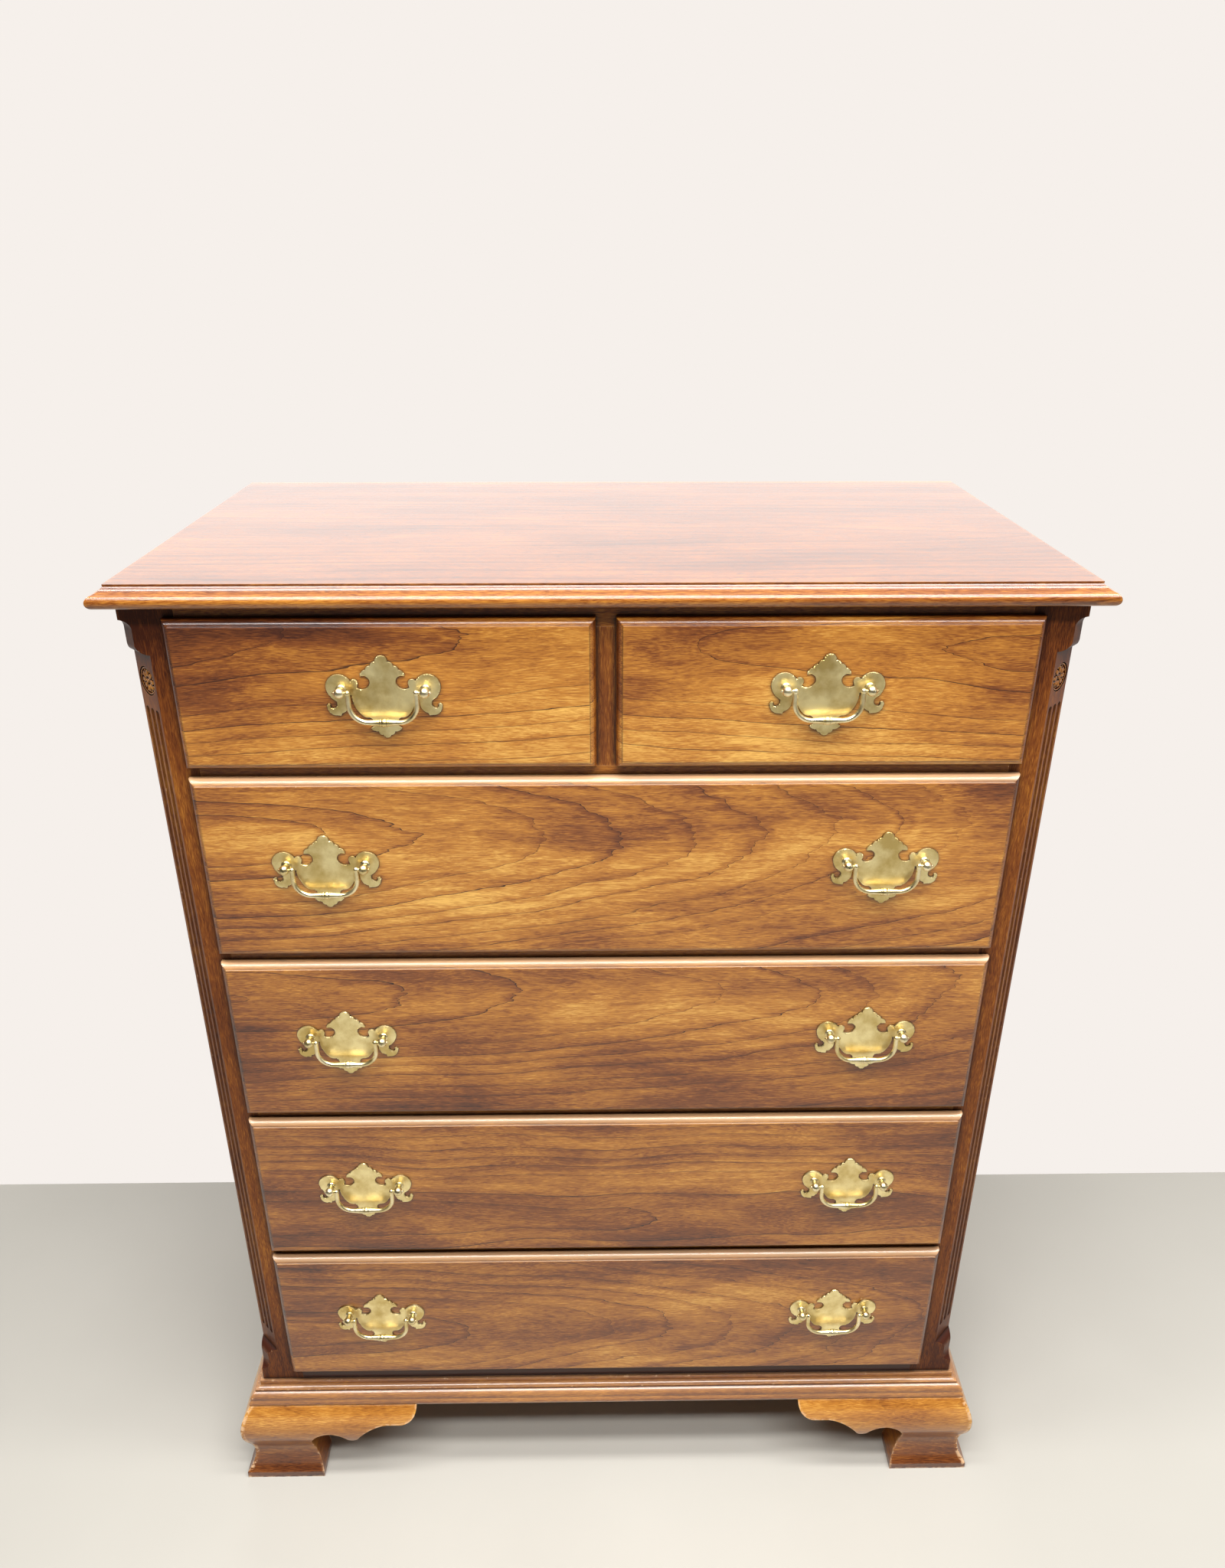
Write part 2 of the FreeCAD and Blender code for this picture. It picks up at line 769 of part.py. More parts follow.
def feet():
    """Ogee bracket feet: mitred at the front, meeting a plain bracket at the back, with glue blocks."""
    deep = size.foot_back
    block = size.block_size
    top = size.foot_height
    left = -half_case
    corner = (left, front, zero)
    front_face = copied("foot_front_face", bracket("front_bracket", size.front_wing, True), corner)
    side_source = copied("foot_side_source", bracket("side_bracket", size.side_wing, True), corner)
    side_face = mirrored("foot_side_face", side_source, corner, (1, -1, 0))
    corner_block = board(
        "foot_front_block",
        (left + deep, front + deep, size.block_lift),
        (left + deep + block, front + deep + block, top),
    )
    front_pieces = [front_face, side_face, corner_block]
    foot = node("foot_front_left", joined("Compound", "front_left_set", front_pieces))
    node("foot_front_right", mirrored("front_right_set", foot))

    square = bracket("square_bracket", size.side_wing, False)
    square_source = copied("foot_square_source", square, (left, rear, zero))
    square_source.Placement = FreeCAD.Placement(
        FreeCAD.Vector(), FreeCAD.Rotation(FreeCAD.Vector(0, 0, 1), -90)
    )
    inside = left + deep
    back_plane = rear - size.rear_bracket_thickness
    shape = [
        (zero, zero),
        (size.rear_bracket_toe, zero),
        (size.rear_bracket_length, size.rear_bracket_rise),
        (size.rear_bracket_length, top),
        (zero, top),
    ]
    place = (inside, rear, zero)
    plain = pad("foot_rear_bracket", "XZ_Plane", shape, size.rear_bracket_thickness, place)
    corner_block = board(
        "foot_rear_block",
        (inside, back_plane - block, size.block_lift),
        (inside + block, back_plane, top),
    )
    foot = node("foot_rear_left", joined("Compound", "rear_left_set", [square_source, plain, corner_block]))
    node("foot_rear_right", mirrored("rear_right_set", foot))


def swapped(corner):
    """A corner with its two directions exchanged, and its arc's point too."""
    return corner[1::-1] + tuple(via[::-1] for via in corner[2:])


def drawer_front(name, low, high, floor, opening):
    """A lipped front: moulded edges by crossing two profiles, and a thinner block that enters the case."""
    back = -size.lip_gap
    rim = -size.edge_thickness
    proud = -size.front_proud
    shoulder = proud + size.edge_step
    bottom = floor + size.front_gap
    top = floor + opening + size.lip_overlap
    left = low - size.lip_overlap
    right = high + size.lip_overlap
    bulge = rim + (shoulder - rim) * ROOT_HALF

    def edge(at, way):
        """From the back of the lip to the field, at an edge that faces the given way."""
        inside = at - size.edge_width * way
        return [
            (at, back),
            (at, rim),
            (inside, shoulder, (at - size.edge_round * way, bulge)),
            (inside, proud),
        ]

    def moulded(start, end):
        return edge(end, 1) + backwards(edge(start, -1))

    place = (zero, front, zero)
    profile = [swapped(corner) for corner in moulded(bottom, top)]
    upright = pad(name + "_upright", "YZ_Plane", profile, size.case_width * 2, place, both_ways=True)
    level = pad(name + "_level", "XY_Plane", moulded(left, right), top + size.row_height, place)
    lipped = joined("MultiCommon", name + "_lipped", [upright, level])
    entering = board(
        name + "_entering",
        (low + size.front_gap, front - size.lip_gap, bottom),
        (high - size.front_gap, front + size.front_inner, floor + opening - size.front_gap),
    )
    return joined("MultiFuse", name + "_blank", [lipped, entering])


def drawer_side(name, outside, inside, bottom, top, tails):
    """A drawer side whose front end is cut to dovetails."""
    start = size.front_inner
    walk = [(drawer_length, bottom), (drawer_length, top), (start, top)]
    for tail in reversed(range(tails)):
        middle = bottom + (top - bottom) * ((tail + 0.5) / tails)
        root = size.tail_root / 2
        tip = root + size.tail_flare
        walk += [(start, middle + root), (zero, middle + tip), (zero, middle - tip), (start, middle - root)]
    walk.append((start, bottom))
    near = outside if outside.value < inside.value else inside
    return pad(name, "YZ_Plane", walk, size.drawer_side, (near, front, zero))


def pull_middles(middle, wide):
    """Where along a drawer front its pulls are centred."""
    if wide:
        return [middle - size.pull_from_middle, middle + size.pull_from_middle]
    return [middle]


def shank_hole(name, x, level):
    """A clearance hole through a drawer front for one pull post."""
    hole = doc.addObject("Part::Cylinder", name)
    hole.Placement = FreeCAD.Placement(
        FreeCAD.Vector(), FreeCAD.Rotation(FreeCAD.Vector(1, 0, 0), -90)
    )
    bind(hole, "Radius", size.shank_radius + size.shank_gap)
    bind(hole, "Height", (size.front_proud + size.front_inner) * 2)
    move(hole, (x, field - size.front_inner, level))
    return hole


def drawer(number, low, high, floor, opening, tails, wide, masters):
    """One drawer: lipped front, dovetailed box, bottom with guide cleats, and its pulls."""
    name = "drawer_%d" % number
    bottom = floor + size.run_gap
    top = floor + opening - size.drawer_headroom
    outer_low = low + size.front_gap
    outer_high = high - size.front_gap
    inner_low = outer_low + size.drawer_side
    inner_high = outer_high - size.drawer_side
    tray = bottom + size.bottom_rise
    tray_top = tray + size.bottom_thickness
    back_face = front + drawer_length - size.back_inset
    blanks = [
        drawer_side(name + "_left_blank", outer_low, inner_low, bottom, top, tails),
        drawer_side(name + "_right_blank", outer_high, inner_high, bottom, top, tails),
    ]
    panel = board(
        name + "_panel",
        (inner_low - size.housing, front + size.front_inner - size.housing, tray),
        (inner_high + size.housing, back_face, tray_top),
    )
    back = board(
        name + "_back",
        (inner_low - size.housing, back_face - size.drawer_back, tray_top),
        (inner_high + size.housing, back_face, top - size.back_drop),
    )
    sides = [cut(blank.Name.replace("blank", "side"), blank, [panel, back]) for blank in blanks]
    middle = (low + high) / 2
    level = (floor + size.front_gap + floor + opening + size.lip_overlap) / 2 + size.pull_rise
    centres = pull_middles(middle, wide)
    posts = []
    holes = []
    for pull, centre in enumerate(centres):
        for end, way in enumerate((-1, 1)):
            x = centre + size.pull_spacing * (way / 2)
            post = "%s_pull_%d_%d" % (name, pull, end)
            holes.append(shank_hole(post + "_hole", x, level))
            posts.append(copied(post + "_post", masters.post, (x, pivot, level)))
            posts.append(copied(post + "_nut", masters.nut, (x, front + size.front_inner, level)))
    blank = drawer_front(name, low, high, floor, opening)
    node(name + "_front", cut(name + "_face", blank, blanks + [panel] + holes))
    node(name + "_box", joined("Compound", name + "_box_set", sides + [back]))

    half_gap = size.guide_width / 2 + size.cleat_gap
    cleats = []
    for way in (-1, 1):
        sides_of_cleat = (middle + half_gap * way, middle + (half_gap + size.cleat_width) * way)
        edges = sorted(sides_of_cleat, key=lambda edge: edge.value)
        cleats.append(
            board(
                "%s_cleat_%d" % (name, way + 1),
                (edges[0], front + size.front_inner, floor + size.run_gap + size.cleat_lift),
                (edges[1], back_face, tray),
            )
        )
    node(name + "_bottom", joined("Compound", name + "_bottom_set", [panel] + cleats))
    plates = [
        copied("%s_plate_%d" % (name, pull), masters.plate, (centre, field, level))
        for pull, centre in enumerate(centres)
    ]
    node(name + "_pull_plates", joined("Compound", name + "_plate_set", plates))
    node(name + "_pull_posts", joined("Compound", name + "_post_set", posts))
    for pull, centre in enumerate(centres):
        label = name + "_bail" if not wide else "%s_bail_%s" % (name, ("left", "right")[pull])
        node(label, copied(label + "_copy", masters.bail, (centre, pivot, level)))


# Right half of the pull plate on a square grid, from the crest's top round to the pendant's tip.
# A third item is the point that an arc passes through on its way to that corner.
PLATE_HALF = [
    (0, 32.4),
    (5.5, 26.4, (4.4, 30.4)),
    (10.2, 22.6, (8.7, 25.6)),
    (14.7, 18.8, (13.1, 21.9)),
    (19.9, 13.2, (18.3, 17.2)),
    (15.8, 13.2),
    (12.6, 4.4, (11.7, 9.0)),
    (23.8, 1.8, (17.8, 0.5)),
    (23.0, 5.0),
    (29.4, 7.9, (26.0, 10.0)),
    (51.6, 2.4, (40.7, 14.7)),
    (43.8, -10.2, (48.9, -5.4)),
    (46.2, -17.8, (42.9, -14.8)),
    (48.8, -13.8, (49.0, -16.6)),
    (51.9, -16.8, (50.9, -13.4)),
    (43.6, -24.4, (49.4, -22.4)),
    (40.2, -24.8),
    (39.2, -22.5),
    (32.4, -14.5, (34.4, -19.4)),
    (31.2, -6.0),
    (29.0, -6.6, (30.0, -4.8)),
    (20.6, -25.0, (26.4, -16.8)),
    (14.6, -26.8, (17.8, -26.5)),
    (14.2, -37.2, (10.6, -31.8)),
    (7.4, -40.4, (11.2, -39.8)),
    (3.8, -43.8, (6.4, -42.9)),
    (0, -46.5, (2.4, -45.8)),
]


def plate_outline():
    """The pull plate's whole outline, the right half and then its mirror image."""
    grid = size.plate_grid

    def place(pair, way):
        return grid * (pair[0] * way), grid * pair[1]

    def half(way):
        return [place(corner, way) + tuple(place(via, way) for via in corner[2:]) for corner in PLATE_HALF]

    left = backwards(half(-1))
    return left[-1:] + half(1)[1:] + left[1:-1]


def pull_plate():
    """Flat brass back plate with a hole for each post."""
    hole = size.shank_radius + size.shank_gap
    holes = [((size.pull_spacing * (way / 2), zero), hole) for way in (-1, 1)]
    origin = (zero, zero, zero)
    return pad("plate_master", "XZ_Plane", plate_outline(), size.plate_thickness, origin, holes=holes)


def pull_post():
    """Turned brass post: collar on the plate, neck, pierced ball, and a shank through the drawer front."""
    post = doc.addObject("PartDesign::Body", "post_turning")
    seat = size.pivot_proud - size.plate_thickness
    collar = seat - size.collar_thickness
    ball = size.ball_radius
    tail = size.pivot_proud + size.front_proud + size.front_inner + size.nut_thickness + size.shank_end
    collar_round = (collar + size.collar_thickness / 3, size.collar_radius - size.collar_thickness / 2)
    throat = Length(
        math.sqrt(ball.value**2 - size.neck_radius.value**2),
        "sqrt(%s ^ 2 - %s ^ 2)" % (ball.text, size.neck_radius.text),
    )
    profile = [
        (-ball, zero),
        (throat, size.neck_radius, (zero, ball)),
        (collar, size.neck_radius),
        (seat, size.collar_radius, collar_round),
        (seat, size.shank_radius),
        (tail, size.shank_radius),
        (tail, zero),
    ]
    revolve(post, "post_profile", profile)
    post.Placement = FreeCAD.Placement(
        FreeCAD.Vector(), FreeCAD.Rotation(FreeCAD.Vector(0, 0, 1), 90)
    )
    bore = doc.addObject("Part::Cylinder", "post_bore")
    bore.Placement = FreeCAD.Placement(
        FreeCAD.Vector(), FreeCAD.Rotation(FreeCAD.Vector(0, 1, 0), 90)
    )
    bind(bore, "Radius", size.bail_pin_radius + size.bail_pin_gap)
    bind(bore, "Height", ball * 4)
    bind(bore, "Placement.Base.x", -ball * 2)
    return cut("post_master", post, [bore])


def pull_nut():
    """Hexagonal nut on the inside of the drawer front."""
    corner = size.nut_flat / math.cos(math.pi / 6)
    walk = []
    for step in range(6):
        angle = math.pi / 3 * step
        walk.append((corner * math.cos(angle), corner * math.sin(angle)))
    hole = ((zero, zero), size.shank_radius + size.nut_gap)
    nut = pad("nut_blank", "XZ_Plane", walk, size.nut_thickness, (zero, zero, zero), holes=[hole])
    nut.Tip.Reversed = True
    return nut


def bail():
    """Swinging brass handle: a bent rod, swelled to a ringed bead, with a pin at each end."""
    rod = doc.addObject("PartDesign::Body", "bail_master")
    arm = size.bail_arm
    drop = size.bail_drop
    bend = size.bail_bend
    path = sketch_on(rod, "XZ_Plane", "bail_path")
    inside = bend * (1 - ROOT_HALF)
    line = [
        (arm, zero),
        (arm, bend - drop),
        (arm - bend, -drop, (arm - inside, inside - drop)),
        (bend - arm, -drop),
        (-arm, bend - drop, (inside - arm, inside - drop)),
        (-arm, zero),
    ]
    open_line(path, line)
    section = sketch_on(rod, "XY_Plane", "bail_section")
    ring(section, (arm, zero), size.bail_radius)
    pipe = rod.newObject("PartDesign::AdditivePipe", "bail_rod")
    pipe.Profile = section
    pipe.Spine = path

    knuckle = size.knuckle_radius
    pin = size.bail_pin_radius
    reach = size.pull_spacing / 2 + size.bail_pin_out
    tip = reach + size.bail_pin_tip
    inset = Length(
        math.sqrt(knuckle.value**2 - pin.value**2),
        "sqrt(%s ^ 2 - %s ^ 2)" % (knuckle.text, pin.text),
    )
    for way in (-1, 1):
        profile = [
            ((arm - knuckle) * way, zero),
            ((arm + inset) * way, pin, (arm * way, knuckle)),
            (reach * way, pin),
            (tip * way, zero),
        ]
        revolve(rod, "bail_pin_%d" % (way + 1), profile)
    half_run = arm - bend
    half_bead = size.bead_length / 2
    half_grip = half_bead + size.ring_length
    swell = size.bail_swell
    profile = [
        (-half_run, zero),
        (-half_run, size.bail_radius),
        (-half_grip, swell),
        (-half_bead, swell, (-half_bead - size.ring_length / 2, size.ring_radius)),
        (half_bead, swell, (zero, size.bead_radius)),
        (half_grip, swell, (half_bead + size.ring_length / 2, size.ring_radius)),
        (half_run, size.bail_radius),
        (half_run, zero),
    ]
    bead = revolve(rod, "bail_bead", profile)
    bind(bead.Profile[0], "AttachmentOffset.Base.z", -drop)
    return rod


def open_line(sketch, corners):
    """Draws an open line of straight runs and arcs, each corner tied to the sheet."""
    outline(sketch, corners)
    closing = next(
        number
        for number, curve in enumerate(sketch.Geometry)
        if curve.TypeId == "Part::GeomLineSegment"
        and curve.StartPoint.isEqual(spot(corners[-1]), 1e-6)
        and curve.EndPoint.isEqual(spot(corners[0]), 1e-6)
    )
    sketch.delGeometry(closing)


def drawers():
    """Two small drawers side by side over four wide ones."""
    masters = SimpleNamespace(plate=pull_plate(), post=pull_post(), nut=pull_nut(), bail=bail())
    small = size.top_row_height
    drawer(1, -half_opening, -half_stile, floors[-1], small, SHORT_TAILS, False, masters)
    drawer(2, half_stile, half_opening, floors[-1], small, SHORT_TAILS, False, masters)
    for number, floor in enumerate(reversed(floors[:-1]), start=3):
        drawer(number, -half_opening, half_opening, floor, size.row_height, TALL_TAILS, True, masters)


def write_parts():
    """Checks every object and shape, then writes each sub-part to its own file."""
    doc.recompute()
    failed = [item.Name for item in doc.Objects if {"Invalid", "Error"} & set(item.State)]
    failed += [item.Label for item in nodes if item.Shape.isNull() or not item.Shape.isValid()]
    if failed:
        raise RuntimeError("failed: " + ", ".join(failed))
    os.makedirs("parts", exist_ok=True)
    for item in nodes:
        item.Shape.exportStep("parts/%s.step" % item.Label)
        print(item.Label, len(item.Shape.Solids), round(item.Shape.Volume))


top_panel()
all_rails = front_rails()
all_runners, all_rear_rails = carrying_frames()
panel_blank = side_panels(all_runners, all_rear_rails)
back_panel()
corner_posts(panel_blank, all_rails)
base_moulding()
feet()
drawers()
write_parts()
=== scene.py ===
import json
import math

import bmesh
import bpy
from mathutils import Euler, Matrix, Vector

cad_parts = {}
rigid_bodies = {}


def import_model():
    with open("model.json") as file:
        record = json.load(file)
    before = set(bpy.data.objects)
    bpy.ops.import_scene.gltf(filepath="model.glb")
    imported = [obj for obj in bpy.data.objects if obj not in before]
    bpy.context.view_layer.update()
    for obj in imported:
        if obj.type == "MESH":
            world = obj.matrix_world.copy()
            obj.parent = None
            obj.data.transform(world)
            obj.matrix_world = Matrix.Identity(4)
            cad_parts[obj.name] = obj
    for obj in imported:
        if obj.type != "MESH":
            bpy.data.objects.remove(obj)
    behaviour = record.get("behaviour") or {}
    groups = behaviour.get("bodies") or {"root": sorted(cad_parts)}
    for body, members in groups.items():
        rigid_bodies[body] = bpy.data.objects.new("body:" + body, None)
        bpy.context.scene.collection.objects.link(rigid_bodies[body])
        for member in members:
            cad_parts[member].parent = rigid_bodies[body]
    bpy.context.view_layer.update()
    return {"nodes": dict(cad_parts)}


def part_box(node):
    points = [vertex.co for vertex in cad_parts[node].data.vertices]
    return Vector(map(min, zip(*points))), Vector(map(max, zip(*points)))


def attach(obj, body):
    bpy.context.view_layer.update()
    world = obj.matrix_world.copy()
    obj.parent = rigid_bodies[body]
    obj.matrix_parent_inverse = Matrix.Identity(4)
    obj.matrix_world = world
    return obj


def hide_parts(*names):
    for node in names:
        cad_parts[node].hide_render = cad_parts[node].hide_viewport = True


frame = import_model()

# Side panels, the first pieces of the case. Each is four cherry boards glued edge to edge, grain upright,
# tongued into the corner post in front and rabbeted for the back.
# All the cherry is stained, glazed and lacquered: warm brown, satin, with dark lines at the growth rings.
nodes = frame["nodes"]
objects = bpy.context.scene.collection.objects


def colour(code):
    """An sRGB hex value as linear red, green, blue and alpha."""
    parts = [int(code[place:place + 2], 16) / 255 for place in (1, 3, 5)]
    return [part / 12.92 if part <= 0.04045 else ((part + 0.055) / 1.055) ** 2.4 for part in parts] + [1.0]


def add(tree, kind, inputs=None, stops=(), **settings):
    """Adds one shader node with its settings. An input is a number, or a node or socket to link from."""
    node = tree.nodes.new("ShaderNode" + kind)
    for setting, value in settings.items():
        setattr(node, setting, value)
    for number, (place, shade) in enumerate(stops):
        elements = node.color_ramp.elements
        stop = elements[number] if number < len(elements) else elements.new(place)
        stop.position = place
        stop.color = shade
    for socket, value in (inputs or {}).items():
        if isinstance(value, bpy.types.Node):
            value = next(output for output in value.outputs if output.enabled)
        if isinstance(value, bpy.types.NodeSocket):
            tree.links.new(value, node.inputs[socket])
        else:
            node.inputs[socket].default_value = value
    return node


def new_finish(name):
    """A material with an empty node tree."""
    material = bpy.data.materials.new(name)
    material.use_nodes = True
    material.node_tree.nodes.clear()
    return material, material.node_tree


# The ways a board lies. Each turns its grain along X, its width along Z and its thickness along Y.
# The patterns are laid out in millimetres.
GRAIN_ACROSS = (0, 0, 0)
GRAIN_UP_SIDE = (math.radians(90), 0, math.radians(90))
MM_PER_METRE = 1000
CHERRY = {"deep": "#3f1807", "brown": "#7b4115", "amber": "#b8782b", "gold": "#e6b258", "line": "#2a0f05"}


def timber(name, tones, middle, turn=GRAIN_ACROSS, side_turn=None, heart=(0, -80, 30), lean=(0, 6), ring=12.0,
           seed=0.0, tone=0.5, rise=(0, 0), line=0.8, blotch=0.44, wander=9.0, wear=0.1, glaze=0.95,
           hollow=0.005, gloss=0.34, coat=0.6, shine=0.5, soften=0.001, vein=1.0, dusted=0.0, joined=False,
           plank=None, rim=None):
    """Sawn and finished wood. Growth rings that the saw cuts at a slant give thin arched lines, the fibre
    gives fine streaks, stain takes unevenly, the glazing and painted shade stay dark in the quirks, and
    edges are lighter, partly from wear and partly as a painted highlight.

    heart is the middle of the log from the board's middle in millimetres, and lean its slope and slant in
    degrees. tone runs from the deep colour at 0 to the gold one at 1. rim holds two axes, a box, a reach
    along each axis in metres, and a drop: within that reach of the box's edges the tone falls by the drop.
    rise lightens the tone along the same two axes. side_turn is the lie of the faces that look sideways."""
    material, tree = new_finish(name)
    spot = add(tree, "TexCoord")
    point = spot.outputs["Object"]
    normal = spot.outputs["Normal"]
    in_millimetres = (MM_PER_METRE, MM_PER_METRE, MM_PER_METRE)
    place = -(Euler(turn).to_matrix() @ Vector(middle)) * MM_PER_METRE
    board = add(tree, "Mapping", {"Vector": point, "Location": place, "Rotation": turn,
                                  "Scale": in_millimetres})
    if side_turn:
        place = -(Euler(side_turn).to_matrix() @ Vector(middle)) * MM_PER_METRE
        other = add(tree, "Mapping", {"Vector": point, "Location": place, "Rotation": side_turn,
                                      "Scale": in_millimetres})
        facing = add(tree, "SeparateXYZ", {0: normal})
        sideways = add(tree, "Math", {0: facing.outputs["X"]}, operation="ABSOLUTE")
        turned = add(tree, "Math", {0: sideways, 1: 0.2}, operation="GREATER_THAN")
        board = add(tree, "Mix", {0: turned, 4: board, 5: other}, data_type="VECTOR")
    if plank:
        width = add(tree, "SeparateXYZ", {0: board}).outputs["Z"]
        planks = add(tree, "Math", {0: width, 1: plank}, operation="DIVIDE")
        number = add(tree, "Math", {0: planks}, operation="FLOOR")
        shift = add(tree, "TexWhiteNoise", {"W": number}, noise_dimensions="1D").outputs["Color"]
        away = add(tree, "VectorMath", {0: shift, 1: (900, 30, 120), 2: (-450, -15, -60)},
                   operation="MULTIPLY_ADD")
        board = add(tree, "VectorMath", {0: board, 1: away}, operation="ADD")

    # The fibre wanders slowly along the tree, and short fingers make the arches jagged.
    slow = add(tree, "Mapping", {"Vector": board, "Location": (seed, seed, seed),
                                 "Scale": (1 / 190, 1 / 75, 1 / 75)})
    drift = add(tree, "TexNoise", {"Vector": slow, "Scale": 1, "Detail": 1, "Roughness": 0.4})
    sway = (2.4 * wander, 2 * wander, 2 * wander)
    bend = add(tree, "VectorMath", {0: drift.outputs["Color"], 1: sway, 2: [-part / 2 for part in sway]},
               operation="MULTIPLY_ADD")
    short = add(tree, "Mapping", {"Vector": board, "Location": (seed, 0, seed),
                                  "Scale": (1 / 60, 1 / 9, 1 / 9)})
    jog = add(tree, "TexNoise", {"Vector": short, "Scale": 1, "Detail": 2, "Roughness": 0.55})
    kink = add(tree, "VectorMath", {0: jog.outputs["Color"], 1: (34, 2.4, 2.4), 2: (-17, -1.2, -1.2)},
               operation="MULTIPLY_ADD")
    moved = add(tree, "VectorMath", {0: bend, 1: kink}, operation="ADD")
    bent = add(tree, "VectorMath", {0: board, 1: moved}, operation="ADD")
    slant = (0, math.radians(lean[0]), math.radians(lean[1]))
    log = add(tree, "Mapping", {"Vector": bent, "Location": [-part for part in heart], "Rotation": slant})
    across = add(tree, "VectorMath", {0: log, 1: (0, 1, 1)}, operation="MULTIPLY")
    radius = add(tree, "VectorMath", {0: across}, operation="LENGTH")
    tilt = max(0.06, abs(math.sin(slant[2])))
    slope = add(tree, "VectorMath", {0: log, 1: (0, tilt, 1)}, operation="MULTIPLY")
    cut = add(tree, "VectorMath", {0: slope}, operation="LENGTH")
    steep = add(tree, "Math", {0: cut, 1: radius}, operation="DIVIDE")

    # Years of uneven width. Each ends in a dark line of even width on the face, with a soft brown edge.
    count = add(tree, "Math", {0: radius, 1: ring}, operation="DIVIDE")
    climate = add(tree, "TexNoise", {"W": count, "Scale": 0.55, "Detail": 1}, noise_dimensions="1D")
    age = add(tree, "Math", {0: climate, 1: 0.8, 2: count}, operation="MULTIPLY_ADD")
    season = add(tree, "Math", {0: age}, operation="FRACT")
    year = add(tree, "Math", {0: age}, operation="FLOOR")
    weather = add(tree, "TexWhiteNoise", {"W": year}, noise_dimensions="1D")
    left = add(tree, "MapRange", {0: season, 1: 0.0, 2: 1.0, 3: ring, 4: 0.0})
    late = add(tree, "Math", {0: left, 1: steep}, operation="DIVIDE")
    strength = add(tree, "MapRange", {0: weather, 1: 0.2, 2: 0.9, 3: 0.06, 4: 1.0})
    thin = add(tree, "MapRange", {0: late, 1: 0.25, 2: 1.2, 3: 1.0, 4: 0.0}, interpolation_type="SMOOTHSTEP")
    ringline = add(tree, "Math", {0: thin, 1: strength}, operation="MULTIPLY")
    soft = add(tree, "MapRange", {0: late, 1: 0.0, 2: 11.0, 3: -0.24 * vein, 4: 0.0},
               interpolation_type="SMOOTHSTEP")
    halo = add(tree, "Math", {0: soft, 1: strength}, operation="MULTIPLY")
    streak = add(tree, "TexNoise", {"W": age, "Scale": 1.6, "Detail": 3, "Roughness": 0.6},
                 noise_dimensions="1D")
    fine = add(tree, "Mapping", {"Vector": bent, "Scale": (1 / 10, 1 / 0.7, 1 / 0.7)})
    fibre = add(tree, "TexNoise", {"Vector": fine, "Scale": 1, "Detail": 2, "Roughness": 0.6})
    drawn = add(tree, "Mapping", {"Vector": bent, "Scale": (1 / 110, 1 / 3, 1 / 3)})
    strand = add(tree, "TexNoise", {"Vector": drawn, "Scale": 1, "Detail": 2, "Roughness": 0.6})
    broad = add(tree, "Mapping", {"Vector": bent, "Location": (seed * 3, 0, 0),
                                  "Scale": (1 / 220, 1 / 60, 1 / 60)})
    stain = add(tree, "TexNoise", {"Vector": broad, "Scale": 1, "Detail": 4, "Roughness": 0.62})

    # Everything that lightens or darkens the stain adds up to one tone. Rounded edges are lighter, partly
    # from wear and partly as a painted highlight.
    # The fibre is drawn about twice as coarse as real cherry pores, which would be too fine to show.
    corner = add(tree, "AmbientOcclusion", {"Distance": 0.004}, samples=6, only_local=True, inside=True)
    rubbed = add(tree, "MapRange", {0: corner.outputs["AO"], 1: 0.85, 2: 0.45, 3: 0.0, 4: 1.0})
    edge_wear_and_highlight = add(tree, "MapRange", {0: rubbed, 3: 0.0, 4: 0.12})
    depth = add(tree, "MapRange", {0: stain, 1: 0.3, 2: 0.7, 3: tone - blotch / 2, 4: tone + blotch / 2})
    stripe = add(tree, "MapRange", {0: streak, 1: 0.28, 2: 0.72, 3: -0.07 * vein, 4: 0.07 * vein})
    thread = add(tree, "MapRange", {0: fibre, 1: 0.3, 2: 0.7, 3: -0.19, 4: 0.19})
    pulled = add(tree, "MapRange", {0: strand, 1: 0.3, 2: 0.7, 3: -0.1 * vein, 4: 0.1 * vein})
    parts = [halo, stripe, thread, pulled, edge_wear_and_highlight]
    if not side_turn:
        # End grain soaks up stain and dries much darker than the face. The darkening is also painted shade
        # on the sideways edges of the drawer fronts.
        grain = Euler(turn).to_matrix()[0]
        end_on = add(tree, "VectorMath", {0: normal, 1: grain}, operation="DOT_PRODUCT")
        end_grain_and_side_shade = add(tree, "Math", {0: end_on}, operation="ABSOLUTE")
        parts.append(add(tree, "MapRange", {0: end_grain_and_side_shade, 1: 0.3, 2: 0.9, 3: 0.0, 4: -0.4}))
    if rim:
        axes, (low, high), reaches, drop = rim
        away = add(tree, "VectorMath", {0: point, 1: middle}, operation="SUBTRACT")
        inward = []
        for axis, reach, gain in zip(axes, reaches, rise):
            half = (high - low)["XYZ".index(axis)] / 2
            level = add(tree, "SeparateXYZ", {0: away}).outputs[axis]
            parts.append(add(tree, "MapRange", {0: level, 1: -half, 2: half, 3: -gain / 2, 4: gain / 2}))
            outward = add(tree, "Math", {0: level}, operation="ABSOLUTE")
            inward.append(add(tree, "MapRange", {0: outward, 1: half, 2: half - reach, 3: 0.0, 4: 1.0}))
        nearest = add(tree, "Math", {0: inward[0], 1: inward[1]}, operation="MINIMUM")
        parts.append(add(tree, "MapRange", {0: nearest, 3: -drop, 4: 0.0}, interpolation_type="SMOOTHSTEP"))
    for part in parts:
        depth = add(tree, "Math", {0: depth, 1: part}, operation="ADD")
    stained = add(tree, "ValToRGB", {0: depth}, [
        (0.0, colour(tones["deep"])), (1.0, colour(tones["gold"])), (0.33, colour(tones["brown"])),
        (0.66, colour(tones["amber"]))])

